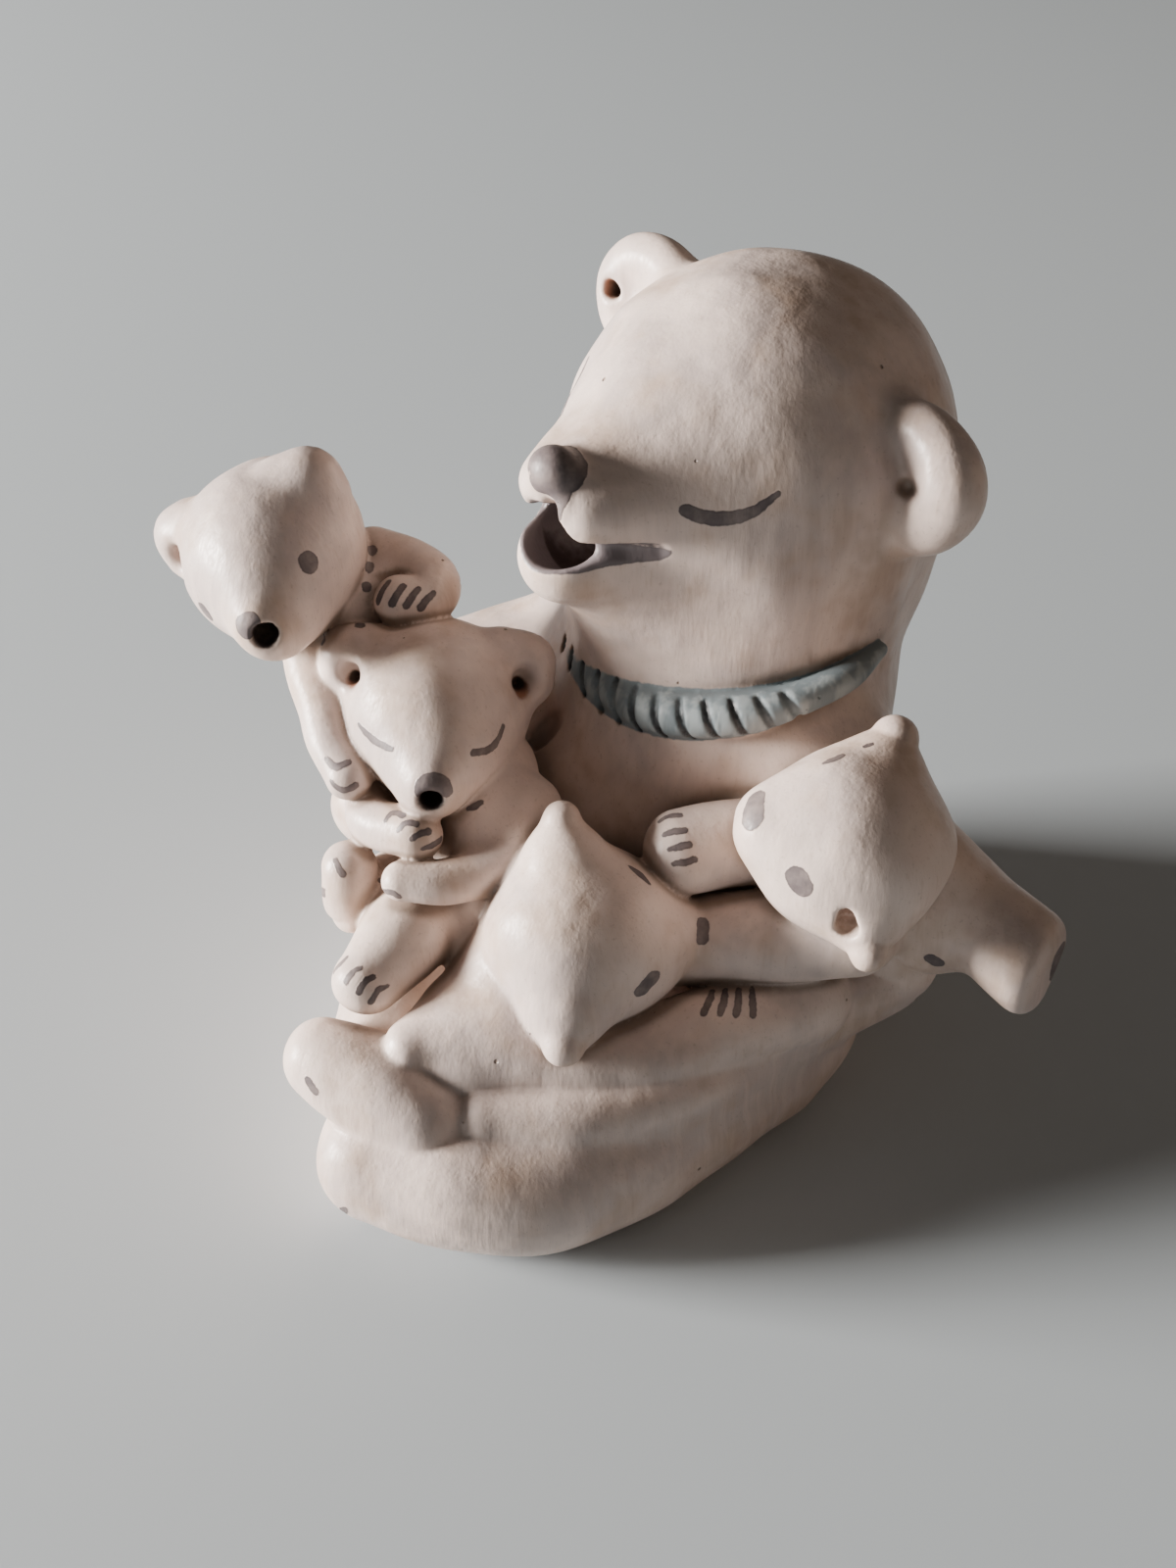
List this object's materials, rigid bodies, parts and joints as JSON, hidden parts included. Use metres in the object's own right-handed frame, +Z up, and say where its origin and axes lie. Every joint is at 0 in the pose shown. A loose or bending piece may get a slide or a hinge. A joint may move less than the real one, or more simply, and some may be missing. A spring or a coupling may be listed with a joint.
{
  "type": "storyteller figure",
  "caption": "Hand-modelled fired clay figure of a seated mother bear singing to the cubs that climb on her arms and lap, in off-white slip with brush marks and a nicked grey necklace.",
  "frame": {"origin": "on the flat underside, at the middle of the mother bear's seat", "axes": "+Z up, the mother bear faces -Y, her left side is +X"},
  "size_m": [0.1624, 0.1543, 0.1494],
  "materials": {
    "slipped_clay": "satin"
  },
  "bodies": {
    "root": {"figure": "slipped_clay"}
  },
  "joints": []
}
